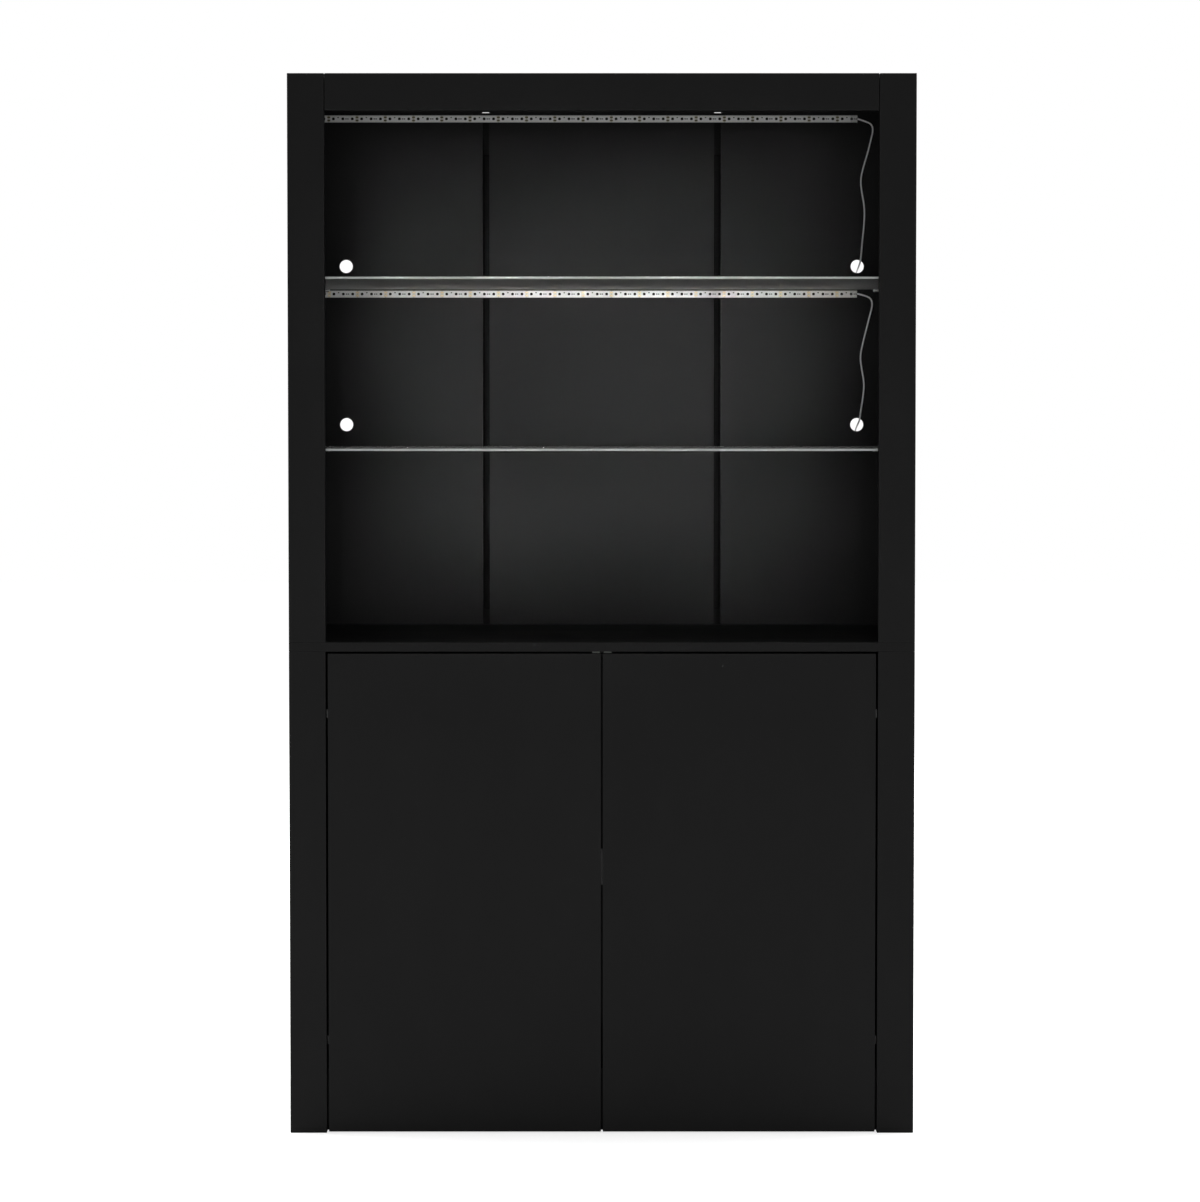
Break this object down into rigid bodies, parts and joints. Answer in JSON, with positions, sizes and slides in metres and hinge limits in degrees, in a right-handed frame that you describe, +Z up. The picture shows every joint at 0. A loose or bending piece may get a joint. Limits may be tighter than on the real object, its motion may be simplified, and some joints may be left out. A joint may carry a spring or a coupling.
{
  "type": "display cabinet",
  "caption": "Tall black cabinet: open display bay with glass shelves and lighting strips over a low cupboard with flush push-to-open doors.",
  "frame": {"origin": "on the floor under the middle of the cabinet's box, leads left out", "axes": "+Z up, front faces -Y, +X to the right seen from the front"},
  "size_m": [1.025, 0.4723, 1.737],
  "materials": {
    "black_board": "satin black melamine foil on particle board, banded edges",
    "black_back_panel": "matt black lacquered hardboard",
    "black_batten": "matt black",
    "grey_strip": "matt",
    "clear_glass": "clear, polished edges",
    "bright_steel": "bright zinc plated",
    "nickel_plate": "nickel plated pressed steel",
    "screw_steel": "black zinc",
    "cast_zinc": "cast zinc",
    "beech_dowel": "plain beech",
    "led_tape": "white tape with light-emitting diodes",
    "clear_sleeve": "clear shrink sleeve",
    "grey_lead": "soft grey sheath",
    "black_plug": "moulded",
    "latch_plastic": "moulded black",
    "light_grey_plastic": "moulded light grey"
  },
  "bodies": {
    "cabinet": {"upper_left_stile": "black_board", "upper_right_stile": "black_board", "top_fascia": "black_board", "top_panel": "black_board", "upper_left_side": "black_board", "upper_right_side": "black_board", "back_panel_left": "black_back_panel", "back_panel_middle": "black_back_panel", "back_panel_right": "black_back_panel", "back_batten_left": "black_batten", "back_batten_right": "black_batten", "joint_strip_left": "grey_strip", "joint_strip_right": "grey_strip", "glass_shelf_upper": "clear_glass", "glass_shelf_lower": "clear_glass", "shelf_pins": "bright_steel", "led_strip_upper": "led_tape", "led_strip_lower": "led_tape", "led_sleeves": "clear_sleeve", "upper_lead": "grey_lead", "upper_lead_coil": "grey_lead", "upper_lead_plug": "black_plug", "lower_lead": "grey_lead", "lower_lead_coil": "grey_lead", "lower_lead_plug": "black_plug", "mid_panel": "black_board", "base_left_side": "black_board", "base_right_side": "black_board", "base_left_stile": "black_board", "base_right_stile": "black_board", "base_bottom": "black_board", "kick_board": "black_board", "centre_partition": "black_board", "base_back": "black_back_panel", "inner_shelf_left": "black_board", "inner_shelf_right": "black_board", "hinge_arms_left": "nickel_plate", "hinge_arms_right": "nickel_plate", "fixing_screws": "screw_steel", "latch_body": "latch_plastic", "latch_spring_left": "bright_steel", "latch_spring_right": "bright_steel", "centre_buffer": "light_grey_plastic", "cam_locks": "cast_zinc", "cam_bolts": "bright_steel", "dowels": "beech_dowel", "back_screws": "screw_steel"},
    "door_left": {"door_left": "black_board", "hinge_cups_left": "nickel_plate", "hinge_pins_left": "bright_steel", "door_screws_left": "screw_steel", "strike_plate_left": "nickel_plate"},
    "plunger_left": {"latch_plunger_left": "light_grey_plastic"},
    "door_right": {"door_right": "black_board", "hinge_cups_right": "nickel_plate", "hinge_pins_right": "bright_steel", "door_screws_right": "screw_steel", "strike_plate_right": "nickel_plate"},
    "plunger_right": {"latch_plunger_right": "light_grey_plastic"}
  },
  "joints": [
    {"name": "door_left_swing", "type": "hinge", "parent": "cabinet", "child": "door_left", "pos_m": [-0.442, -0.199, 0.15], "axis": [0, 0, -1], "range_deg": [0, 95]},
    {"name": "door_right_swing", "type": "hinge", "parent": "cabinet", "child": "door_right", "pos_m": [0.442, -0.199, 0.15], "axis": [0, 0, 1], "range_deg": [0, 95]},
    {"name": "plunger_left_press", "type": "slide", "parent": "cabinet", "child": "plunger_left", "axis": [0, 1, 0], "range_m": [0, 0.003], "stiffness_N_per_m": 300, "springref_m": -0.002, "deforming": ["latch_spring_left"]},
    {"name": "plunger_right_press", "type": "slide", "parent": "cabinet", "child": "plunger_right", "axis": [0, 1, 0], "range_m": [0, 0.003], "stiffness_N_per_m": 300, "springref_m": -0.002, "deforming": ["latch_spring_right"]}
  ]
}
